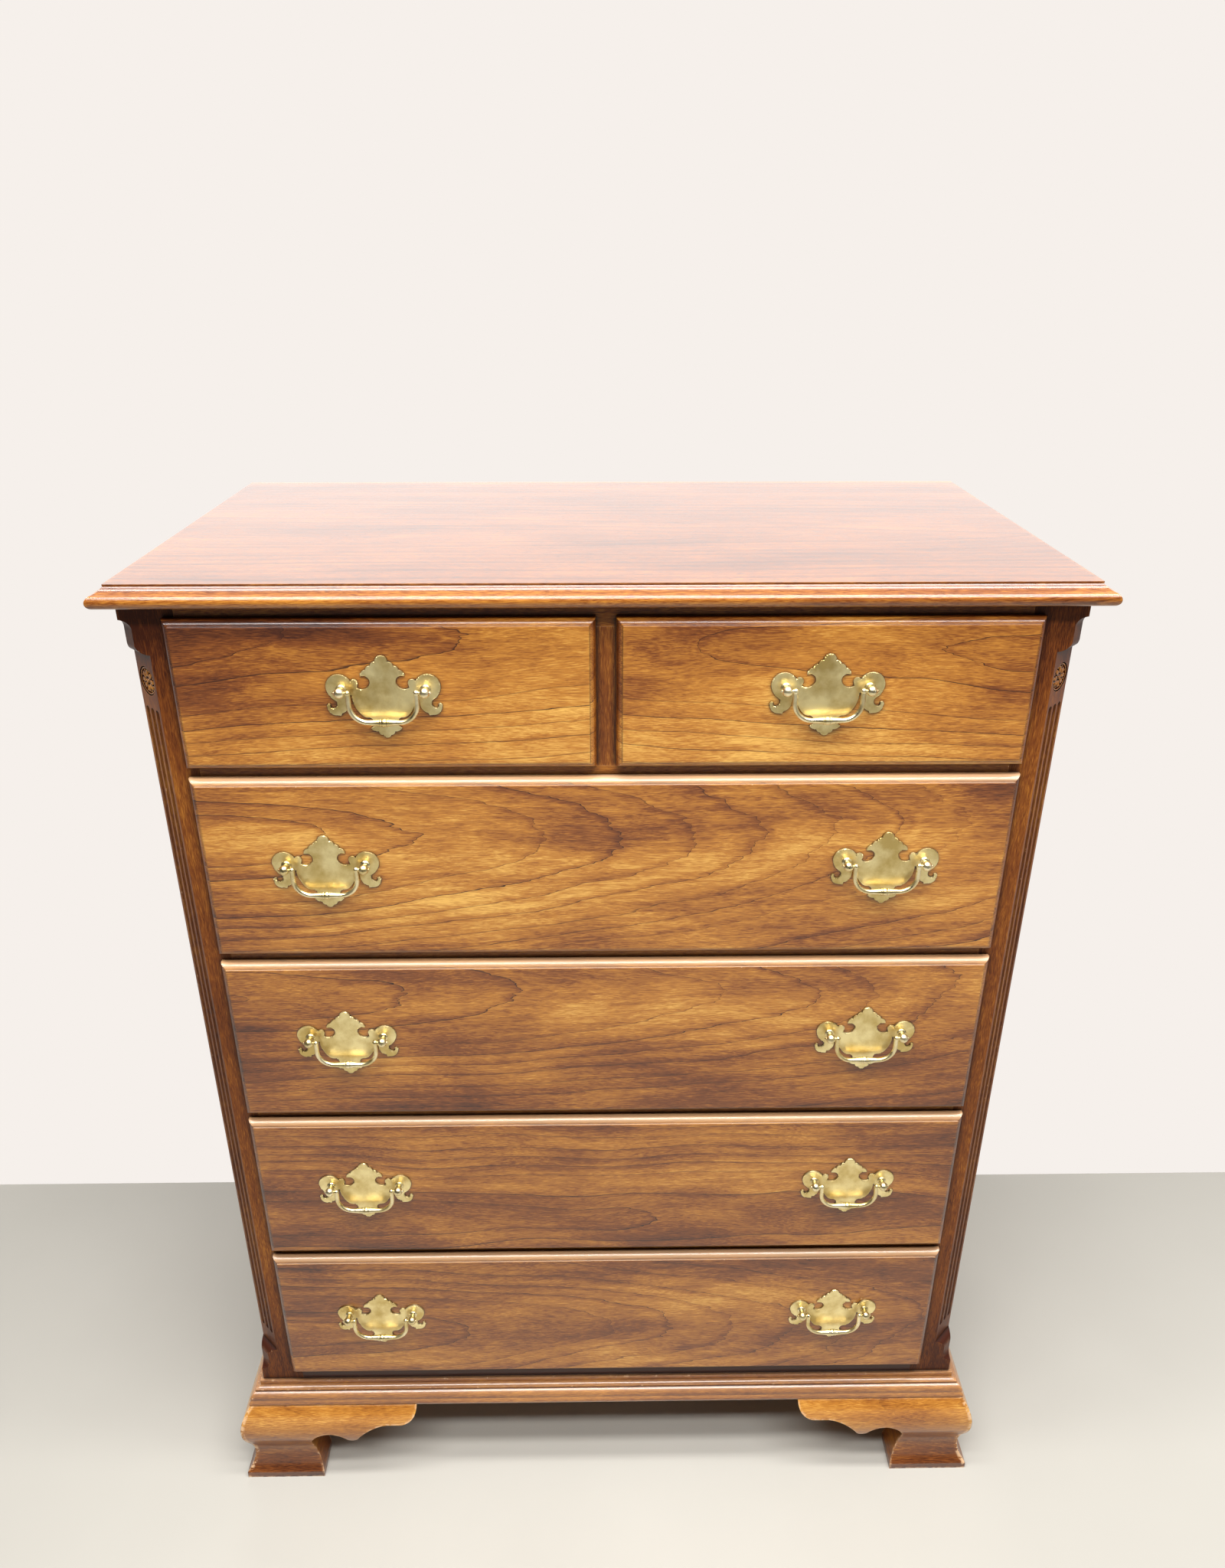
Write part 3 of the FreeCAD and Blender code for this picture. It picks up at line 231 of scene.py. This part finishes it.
    # Flecks of dark glaze spattered by the finisher, a millimetre or two long and some way apart.
    spatter = add(tree, "Mapping", {"Vector": board, "Location": (seed, 0, 0), "Scale": (1 / 34, 0, 1 / 24)})
    fleck = add(tree, "TexVoronoi", {"Vector": spatter, "Scale": 1, "Randomness": 1})
    small = add(tree, "MapRange", {0: fleck.outputs["Distance"], 1: 0.02, 2: 0.06, 3: 1.0, 4: 0.0})
    lot = add(tree, "SeparateXYZ", {0: fleck.outputs["Color"]})
    some = add(tree, "Math", {0: lot.outputs["X"], 1: 0.88}, operation="GREATER_THAN")
    flecked = add(tree, "Math", {0: small, 1: some}, operation="MULTIPLY")
    marked = add(tree, "Math", {0: ringline, 1: flecked}, operation="MAXIMUM")
    dark = add(tree, "Math", {0: marked, 1: line}, operation="MULTIPLY")
    lined = add(tree, "Mix", {0: dark, 6: stained, 7: colour(tones["line"])}, data_type="RGBA")

    # Dark glaze and painted shade in the quirks and, where pieces meet, in the joints. Raw pale wood shows
    # where edges are chipped, and the same pale colour is a painted highlight on lips and mouldings that face
    # up.
    closed = add(tree, "AmbientOcclusion", {"Distance": hollow}, samples=6, only_local=not joined)
    glaze_shade_mask = add(tree, "MapRange", {0: closed.outputs["AO"], 1: 0.5, 2: 0.93, 3: glaze, 4: 0.0})
    glazed = add(tree, "Mix", {0: glaze_shade_mask, 6: lined, 7: colour("#120602")}, data_type="RGBA")
    chips = add(tree, "TexNoise", {"Vector": board, "Scale": 1 / 7, "Detail": 3, "Roughness": 0.7})
    worn = add(tree, "MapRange", {0: chips, 1: 0.72 - wear * 0.4, 2: 0.78 - wear * 0.4, 3: 0.0, 4: 0.9})
    chips_and_top_highlight = add(tree, "Math", {0: rubbed, 1: worn}, operation="MULTIPLY")
    # Painted highlight: faces that look up take the pale colour, outside the glazed and shaded quirks.
    if dusted:
        upward = add(tree, "SeparateXYZ", {0: normal}).outputs["Z"]
        top_highlight = add(tree, "MapRange", {0: upward, 1: 0.15, 2: 0.6, 3: 0.0, 4: dusted})
        open_face = add(tree, "Math", {0: 1.0, 1: glaze_shade_mask}, operation="SUBTRACT")
        top_highlight = add(tree, "Math", {0: top_highlight, 1: open_face}, operation="MULTIPLY")
        chips_and_top_highlight = add(tree, "Math", {0: chips_and_top_highlight, 1: top_highlight}, operation="MAXIMUM")
    pale_wear_and_highlight = add(tree, "Mix", {0: chips_and_top_highlight, 6: glazed, 7: colour("#e0b88e")}, data_type="RGBA")

    sheen = add(tree, "MapRange", {0: fibre, 1: 0.3, 2: 0.7, 3: gloss - 0.05, 4: gloss + 0.07})
    relief = add(tree, "Math", {0: fibre, 1: ringline}, operation="SUBTRACT")
    rounded = add(tree, "Bevel", {"Radius": soften}, samples=6)
    bump = add(tree, "Bump", {"Strength": 0.2, "Distance": 0.0001, "Height": relief, "Normal": rounded})
    finish = add(tree, "BsdfPrincipled", {"Base Color": pale_wear_and_highlight, "Roughness": sheen, "IOR": 1.5,
                                          "Specular IOR Level": shine, "Coat Weight": coat,
                                          "Coat Roughness": 0.14, "Normal": bump})
    add(tree, "OutputMaterial", {"Surface": finish})
    return material


def dress(name, finish, tones=CHERRY, **figure):
    """Gives a CAD node its own piece of wood, with the figure centred on the node."""
    low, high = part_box(name)
    material = timber(f"{finish}_{name}", tones, (low + high) / 2, **figure)
    nodes[name].data.materials.clear()
    nodes[name].data.materials.append(material)


for number, side in enumerate(("left", "right")):
    dress(f"side_panel_{side}", "lacquered_cherry", turn=GRAIN_UP_SIDE, heart=(0, -70, 20), lean=(1, 5),
          ring=14, tone=0.36, plank=152, seed=3.1 + number * 7, gloss=0.42, coat=0.15, shine=0.25)

# Corner posts: cherry, canted, with three flutes run by a round cutter between lamb's-tongue stops.
# They are toned darker than the fronts, most of all at their ends, and glaze and painted shade lie nearly
# black in the flutes.
GRAIN_UP = (0, math.radians(90), 0)
for number, side in enumerate(("left", "right")):
    name = f"corner_post_{side}"
    dress(name, "lacquered_cherry", turn=GRAIN_UP, heart=(0, -140, 90), lean=(0.5, 1.5), ring=7, tone=0.32,
          blotch=0.3, line=0.2, vein=0.3, wander=5, seed=8.3 + number * 5, wear=0.16, gloss=0.45, coat=0.05,
          shine=0.2, hollow=0.007, glaze=1.0, joined=True, rim=("XZ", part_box(name), (0.0001, 0.14), 0.26))

# Rosettes: two carved cherry discs, glued in round recesses near the top of the cants.
# Eight grooved petals with sepals between them stand round a seeded boss, inside a plain rim.
# The petals are satin brown, and the ground behind them is near black, glaze with painted shade for its
# recess.
PETALS = 8
SEEDS = 6
PETAL = (4.0, 2.5, 1.7)
GROOVE_DEPTH = 0.45
GROOVE_WIDTH = 0.35
RIM_RADIUS = 12.4
RIM_REACH = 0.7
CANT_X = 0.4219
CANT_Y = -0.20915
ROSETTE_HEIGHT = 1.075
SEAT_DEPTH = 0.0026


def place_in_turning(point):
    """One number for a point on a turned disc, which grows ring by ring and then with the angle."""
    ring = round(point.to_2d().length + point.z, 1)
    return ring * 10000 + math.degrees(math.atan2(point.y, point.x))


carving = bmesh.new()
for way in (-1, 1):
    disc = bmesh.new()
    edge = [(0.0, 0.3), (5.0, 0.4), (11.2, 0.7), (12.0, 1.9), (12.9, 2.1), (13.4, 1.3), (13.4, 0.0)]
    walk = [disc.verts.new((reach, 0, up)) for reach, up in edge]
    lines = [disc.edges.new(pair) for pair in zip(walk, walk[1:])]
    bmesh.ops.spin(disc, geom=walk + lines, cent=(0, 0, 0), axis=(0, 0, 1), angle=math.tau, steps=64,
                   use_merge=True)
    bmesh.ops.remove_doubles(disc, verts=disc.verts, dist=1e-4)
    bmesh.ops.recalc_face_normals(disc, faces=disc.faces)
    # Welding leaves the faces in no fixed order, so they are sorted, and each run gives the same mesh.
    disc.verts.sort(key=lambda vert: place_in_turning(vert.co))
    disc.faces.sort(key=lambda face: place_in_turning(face.calc_center_median()))
    for face in disc.faces:
        on_rim = abs(face.calc_center_median().to_2d().length - RIM_RADIUS) < RIM_REACH
        face.material_index = 0 if on_rim else 1
    # Petals, sepals, boss and seeds: reach from the middle, turn, radii and height in millimetres, fineness.
    leaves = [(7.2, turn * math.tau / PETALS, PETAL, 0.9, 3) for turn in range(PETALS)]
    leaves += [(10.4, (turn + 0.5) * math.tau / PETALS, (1.5, 1.2, 1.1), 0.8, 2) for turn in range(PETALS)]
    leaves += [(0.0, 0.0, (2.9, 2.9, 2.2), 0.5, 3)]
    leaves += [(1.7, turn * math.tau / SEEDS, (0.7, 0.7, 0.7), 2.2, 2) for turn in range(SEEDS)]
    for reach, turn, radii, up, fineness in leaves:
        ball = bmesh.ops.create_icosphere(disc, subdivisions=fineness, radius=1)["verts"]
        for vert in ball:
            grooved = radii == PETAL and vert.co.z > 0
            groove = GROOVE_DEPTH * max(0, 1 - abs(vert.co.y) / GROOVE_WIDTH) if grooved else 0
            swell = radii[2] * (1 - groove)
            vert.co = Vector((vert.co.x * radii[0], vert.co.y * radii[1], vert.co.z * swell))
        bmesh.ops.translate(disc, verts=ball, vec=(reach, 0, up))
        bmesh.ops.rotate(disc, verts=ball, cent=(0, 0, 0), matrix=Matrix.Rotation(turn, 3, "Z"))
    outward = Vector((way, -1, 0)).normalized()
    seat = Vector((way * CANT_X, CANT_Y, ROSETTE_HEIGHT)) - outward * SEAT_DEPTH
    facing = Matrix((Vector((0, 0, 1)).cross(outward), (0, 0, 1), outward)).transposed().to_4x4()
    bmesh.ops.transform(disc, verts=disc.verts,
                        matrix=Matrix.Translation(seat) @ facing @ Matrix.Scale(1 / MM_PER_METRE, 4))
    half = bpy.data.meshes.new("rosette_half")
    disc.to_mesh(half)
    carving.from_mesh(half)
    bpy.data.meshes.remove(half)
for face in carving.faces:
    face.smooth = True
mesh = bpy.data.meshes.new("carved_rosettes")
carving.to_mesh(mesh)
middle = (0, 0, ROSETTE_HEIGHT)
mesh.materials.append(timber("carved_cherry_petals", CHERRY, middle, turn=GRAIN_UP, tone=0.44, line=0.0,
                             vein=0.2, seed=2.2, hollow=0.006, glaze=0.9, gloss=0.32, coat=0.2, shine=0.3))
# The near-black ground is glaze and painted shade for the recess behind the petals.
mesh.materials.append(timber("black_glazed_cherry_ground", CHERRY, middle, turn=GRAIN_UP, tone=-0.4,
                             line=0.0, vein=0.2, gloss=0.6, coat=0.0, shine=0.0))
rosettes = bpy.data.objects.new("carved_rosettes", mesh)
objects.link(rosettes)
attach(rosettes, "case")
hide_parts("rosettes")

# Front rails, tenoned into the posts, and the upright between the small drawers, tenoned into its two rails.
# All are cherry and hardly shining. The upright is toned like the posts; the rails are toned lighter,
# painted light where the lips above shade them from the lamps.
# The bottom rail sits back behind the lowest lip and is toned nearly black, painted shade for the shadow
# under that lip.
for number, (name, tone) in enumerate((("top_rail", 0.42), ("drawer_rails", 0.5), ("bottom_rail", -0.2))):
    dress(name, "lacquered_cherry", heart=(0, -60, 120), lean=(0, 2), ring=7, tone=tone, blotch=0.24,
          line=0.2, vein=0.3, seed=5.9 + number, coat=0.2, shine=0.3, hollow=0.006 if tone > 0 else 0.016,
          joined=True)
dress("drawer_stile", "lacquered_cherry", turn=GRAIN_UP, heart=(0, -60, 90), lean=(0, 2), ring=7, tone=0.32,
      blotch=0.24, line=0.2, vein=0.3, seed=1.9, coat=0.2, shine=0.3, hollow=0.006, joined=True)

# Runners, rear rails and drawer guides: planed poplar, housed and glued inside the case.
# It has no finish, so it is pale, yellowish and dull.
GRAIN_BACK = (0, 0, math.radians(-90))
POPLAR = {"deep": "#8d7547", "brown": "#b99d68", "amber": "#d2bb87", "gold": "#e2d0a2", "line": "#8a7444"}
for name in ("drawer_runners", "rear_rails", "drawer_guides"):
    dress(name, "bare_poplar", POPLAR, turn=GRAIN_BACK, tone=0.6, line=0.3, glaze=0.1, gloss=0.5, coat=0.0)

# Back panel: thin plywood with a rotary-cut face, set in the rabbets of the sides.
# A brown tint with no lacquer leaves it dull, with a broad and wavy figure.
PLY = {"deep": "#6f4b2b", "brown": "#8f6a43", "amber": "#a9855a", "gold": "#bf9e72", "line": "#6a4727"}
dress("back_panel", "tinted_plywood", PLY, turn=GRAIN_UP, heart=(0, -20, 60), lean=(0, 2), ring=16, wander=22,
      tone=0.5, line=0.4, glaze=0.1, gloss=0.5, coat=0.0)

# Top: four cherry boards glued up, with a cove and a rounded nose run on the front and both ends.
# Its lacquer is the smoothest, so at a low angle it mirrors the pale room.
GRAIN_FLAT = (math.radians(90), 0, 0)
dress("top_panel", "lacquered_cherry", turn=GRAIN_FLAT, heart=(0, -60, 0), lean=(0, 4), ring=14, tone=0.24,
      plank=122, seed=4.4, line=0.4, vein=0.5, blotch=0.24, hollow=0.006, glaze=1.0, gloss=0.3, coat=0.7,
      shine=0.4, rim=("XY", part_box("top_panel"), (0.02, 0.02), -0.22))

# Base moulding: cherry, mitred at the front corners and glued under the case.
# Glaze and painted shade lie in its quirks, and a painted highlight makes its faces that look up a little
# pale.
dress("base_moulding", "lacquered_cherry", side_turn=GRAIN_BACK, heart=(0, -60, 60), lean=(0, 2), ring=8,
      tone=0.42, blotch=0.24, line=0.2, vein=0.3, seed=6.6, wear=0.3, hollow=0.006, glaze=1.0, coat=0.9,
      dusted=0.22, joined=True)

# Bracket feet: cherry, an ogee face mitred at the corner and a sawn scroll, with plain brackets at the back.
# Shoes and brooms have chipped the edges of the front ones down to pale wood.
# The toning is darker towards the toes, and painted shade darkens the hollow of the ogee.
for number, name in enumerate(("foot_front_left", "foot_front_right", "foot_rear_left", "foot_rear_right")):
    dress(name, "lacquered_cherry", side_turn=GRAIN_BACK, heart=(0, -60, 40), lean=(0, 4), ring=9, tone=0.5,
          rise=(0, 0.5), blotch=0.44, line=0.15, vein=0.3, seed=7.7 + number * 3,
          wear=0.62 if "front" in name else 0.1, hollow=0.045, glaze=0.9, coat=0.5,
          rim=("XZ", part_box(name), (0.001, 0.012), 0.1))

# Drawers: cherry fronts from six boards, each with its own figure, lipped and moulded on all four edges.
# Shading lacquer darkens their rims, and a painted highlight lightens their lips and other faces that look
# up, except on the small ones in the shade of the top.
# Boxes are dovetailed poplar with plywood bottoms, both sealed, so they are pale with a faint sheen.
SMALL_DRAWERS = (1, 2)
FIGURES = {
    1: dict(heart=(0, -50, 55), lean=(1, 5), tone=0.56, rise=(0.22, -0.36), seed=11.3, vein=0.45),
    2: dict(heart=(0, -50, 45), lean=(-1, -5), tone=0.66, rise=(0.06, -0.22), seed=23.8, vein=0.45),
    3: dict(heart=(0, -95, 40), lean=(1, 11), tone=0.63, rise=(-0.06, -0.14), seed=37.1, vein=0.85),
    4: dict(heart=(0, -70, 60), lean=(0, 8), tone=0.48, rise=(0, 0.2), seed=41.6, vein=0.7),
    5: dict(heart=(0, -40, -45), lean=(0, 2), tone=0.49, rise=(0, 0.05), seed=53.2, wander=14, vein=0.6),
    6: dict(heart=(0, -85, -20), lean=(1, 9), tone=0.48, seed=67.9, wander=13, vein=0.7),
}
for number, figure in FIGURES.items():
    name = f"drawer_{number}_front"
    # The wide fronts get the painted highlight on faces that look up; the small ones, shaded by the top, get
    # none.
    drop, dusted = (0.05, 0.0) if number in SMALL_DRAWERS else (0.13, 0.6)
    dress(name, "lacquered_cherry", rim=("XZ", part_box(name), (0.16, 0.04), drop), dusted=dusted, ring=13,
          soften=0.0025, blotch=0.56, line=1.0, shine=0.3, coat=0.8, joined=True, **figure)
    dress(f"drawer_{number}_box", "sealed_poplar", POPLAR, side_turn=GRAIN_BACK, tone=0.65, line=0.3,
          glaze=0.1, gloss=0.42, coat=0.1, seed=number)
    dress(f"drawer_{number}_bottom", "sealed_plywood", PLY, turn=GRAIN_FLAT, heart=(0, -20, 60), lean=(0, 2),
          ring=16, tone=0.8, line=0.3, glaze=0.1, gloss=0.5, coat=0.0, seed=number, wander=20)


# Pulls: sheet-brass back plates with a bevelled edge, turned posts with a collar, and cast bails on pins.
# The brass is old, dull and mottled on the plates and rubbed bright on the posts and bails.
def brass(name, clean, aged, patches, gloss):
    """Old brass: cloudy tarnish in patches of that many metres, grime in the corners, uneven polish."""
    material, tree = new_finish(name)
    spot = add(tree, "TexCoord").outputs["Object"]
    cloud = add(tree, "TexNoise", {"Vector": spot, "Scale": 1 / patches, "Detail": 4, "Roughness": 0.6})
    mottled = add(tree, "ValToRGB", {0: cloud}, [(0.36, colour(aged)), (0.62, colour(clean))])
    closed = add(tree, "AmbientOcclusion", {"Distance": 0.004}, samples=6, only_local=True)
    dirt = add(tree, "MapRange", {0: closed.outputs["AO"], 1: 0.3, 2: 0.9, 3: 0.7, 4: 0.0})
    soiled = add(tree, "Mix", {0: dirt, 6: mottled, 7: colour("#4a3a18")}, data_type="RGBA")
    rubbed = add(tree, "TexNoise", {"Vector": spot, "Scale": 1 / 0.009, "Detail": 3, "Roughness": 0.6})
    shine = add(tree, "MapRange", {0: rubbed, 1: 0.3, 2: 0.7, 3: gloss - 0.07, 4: gloss + 0.1})
    rounded = add(tree, "Bevel", {"Radius": 0.0004}, samples=6)
    bump = add(tree, "Bump", {"Strength": 0.2, "Distance": 0.0001, "Height": rubbed, "Normal": rounded})
    finish = add(tree, "BsdfPrincipled", {"Base Color": soiled, "Metallic": 1.0, "Roughness": shine,
                                          "Normal": bump})
    add(tree, "OutputMaterial", {"Surface": finish})
    return material


BEVEL_WIDTH = 0.0009
BEVEL_DEPTH = 0.0007
plate_brass = brass("aged_brass_plates", "#f8e9b2", "#cdb472", 0.03, 0.4)
bright_brass = brass("polished_brass_bails", "#f4e8c0", "#d2be84", 0.02, 0.3)
for number in FIGURES:
    node = nodes[f"drawer_{number}_pull_plates"]
    shape = bmesh.new()
    shape.from_mesh(node.data)
    bmesh.ops.remove_doubles(shape, verts=shape.verts, dist=1e-6)
    shape.normal_update()
    level = min(vert.co.y for vert in shape.verts) + 1e-5
    front = [face for face in shape.faces if face.normal.y < -0.99 and face.calc_center_median().y < level]
    arris = {vert for face in front for vert in face.verts}
    bmesh.ops.inset_region(shape, faces=front, thickness=BEVEL_WIDTH, depth=0, use_boundary=True)
    for vert in arris - {vert for face in front for vert in face.verts}:
        vert.co.y += BEVEL_DEPTH
    mesh = bpy.data.meshes.new(f"drawer_{number}_bevelled_plates")
    shape.to_mesh(mesh)
    mesh.materials.append(plate_brass)
    plates = bpy.data.objects.new(mesh.name, mesh)
    objects.link(plates)
    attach(plates, f"drawer_{number}")
    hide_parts(node.name)
for name, node in nodes.items():
    if "_bail" in name or "_posts" in name:
        node.data.materials.clear()
        node.data.materials.append(bright_brass)

# Studio: a pale matt floor, and a white wall close behind that shines by itself.
# From its back the wall is clear, so it hides nothing in the other views.
floor_paint, tree = new_finish("studio_floor")
spot = add(tree, "TexCoord").outputs["Object"]
cloud = add(tree, "TexNoise", {"Vector": spot, "Scale": 1.5, "Detail": 4})
pale = add(tree, "ValToRGB", {0: cloud}, [(0.3, colour("#b0aca3")), (0.7, colour("#b8b4ab"))])
matt = add(tree, "BsdfPrincipled", {"Base Color": pale, "Roughness": 0.75})
add(tree, "OutputMaterial", {"Surface": matt})
wall_paint, tree = new_finish("studio_wall")
glow = add(tree, "Emission", {"Color": colour("#f6f0eb"), "Strength": 1.0})
behind = add(tree, "NewGeometry").outputs["Backfacing"]
clear = add(tree, "BsdfTransparent")
add(tree, "OutputMaterial", {"Surface": add(tree, "MixShader", {0: behind, 1: glow, 2: clear})})
for name, paint, turn, place in (
    ("floor", floor_paint, 0, (0, 0, 0)),
    ("wall", wall_paint, 90, (0, 0.262, 3)),
):
    sheet = bmesh.new()
    bmesh.ops.create_grid(sheet, x_segments=4, y_segments=4, size=8)
    upright = Matrix.Rotation(math.radians(turn), 3, "X")
    bmesh.ops.rotate(sheet, verts=sheet.verts, cent=(0, 0, 0), matrix=upright)
    bmesh.ops.translate(sheet, verts=sheet.verts, vec=place)
    mesh = bpy.data.meshes.new(name)
    sheet.to_mesh(mesh)
    mesh.materials.append(paint)
    backdrop = bpy.data.objects.new(name, mesh)
    objects.link(backdrop)
objects["wall"].visible_diffuse = False
objects["wall"].visible_shadow = False

# Light: three long ceiling strips, and weak fills from the right and from behind.
# A glow in front of the wall is there for the top to mirror. The camera sees none of the lamps.
world = bpy.data.worlds.new("studio")
bpy.context.scene.world = world
world.use_nodes = True
world.node_tree.nodes["Background"].inputs["Color"].default_value = colour("#f6f0eb")
world.node_tree.nodes["Background"].inputs["Strength"].default_value = 0.08
for name, place, target, size, power in (
    ("near_strip", (0.15, -0.4, 3.0), (0.15, -0.39, 0), (3.0, 0.3), 62),
    ("middle_strip", (0.15, -1.05, 3.0), (0.15, -1.04, 0), (3.0, 0.3), 68),
    ("far_strip", (0.15, -1.75, 3.0), (0.15, -1.74, 0), (3.0, 0.3), 74),
    ("wall_glow", (0, 0.255, 1.465), (0, -1, 1.465), (1.8, 0.59), 2.3),
    ("right_fill", (2.6, -1.2, 1.8), (0, 0, 0.6), (1.6, 1.6), 8),
    ("rear_fill", (-0.8, 2.8, 2.2), (0, 0.2, 0.6), (1.6, 1.6), 25),
):
    light = bpy.data.lights.new(name, "AREA")
    light.shape = "RECTANGLE"
    light.size, light.size_y = size
    light.energy = power
    lamp = bpy.data.objects.new(name, light)
    lamp.location = place
    lamp.rotation_euler = (Vector(target) - Vector(place)).to_track_quat("-Z", "Y").to_euler()
    lamp.visible_camera = False
    objects.link(lamp)

# Camera: solved from the case's straight edges in the photo, about 26 mm equivalent.
# It was held a little above the top and tilted down.
FOCAL_PIXELS = 1474.24
PHOTO_HEIGHT = 2048
SENSOR = 36
CAMERA_PLACE = (-0.00805, -1.19431, 1.43261)
CAMERA_DEGREES = (-25.27, -0.03, -0.82)
lens = bpy.data.cameras.new("camera")
lens.sensor_width = SENSOR
lens.lens = FOCAL_PIXELS / PHOTO_HEIGHT * SENSOR
camera = bpy.data.objects.new("camera", lens)
aim = Euler([math.radians(angle) for angle in CAMERA_DEGREES], "YXZ").to_matrix().to_4x4()
stand = Matrix.Translation(CAMERA_PLACE)
camera.matrix_world = stand @ aim @ Matrix.Rotation(math.radians(90), 4, "X")
objects.link(camera)
bpy.context.scene.camera = camera
bpy.context.scene.view_settings.view_transform = "Standard"
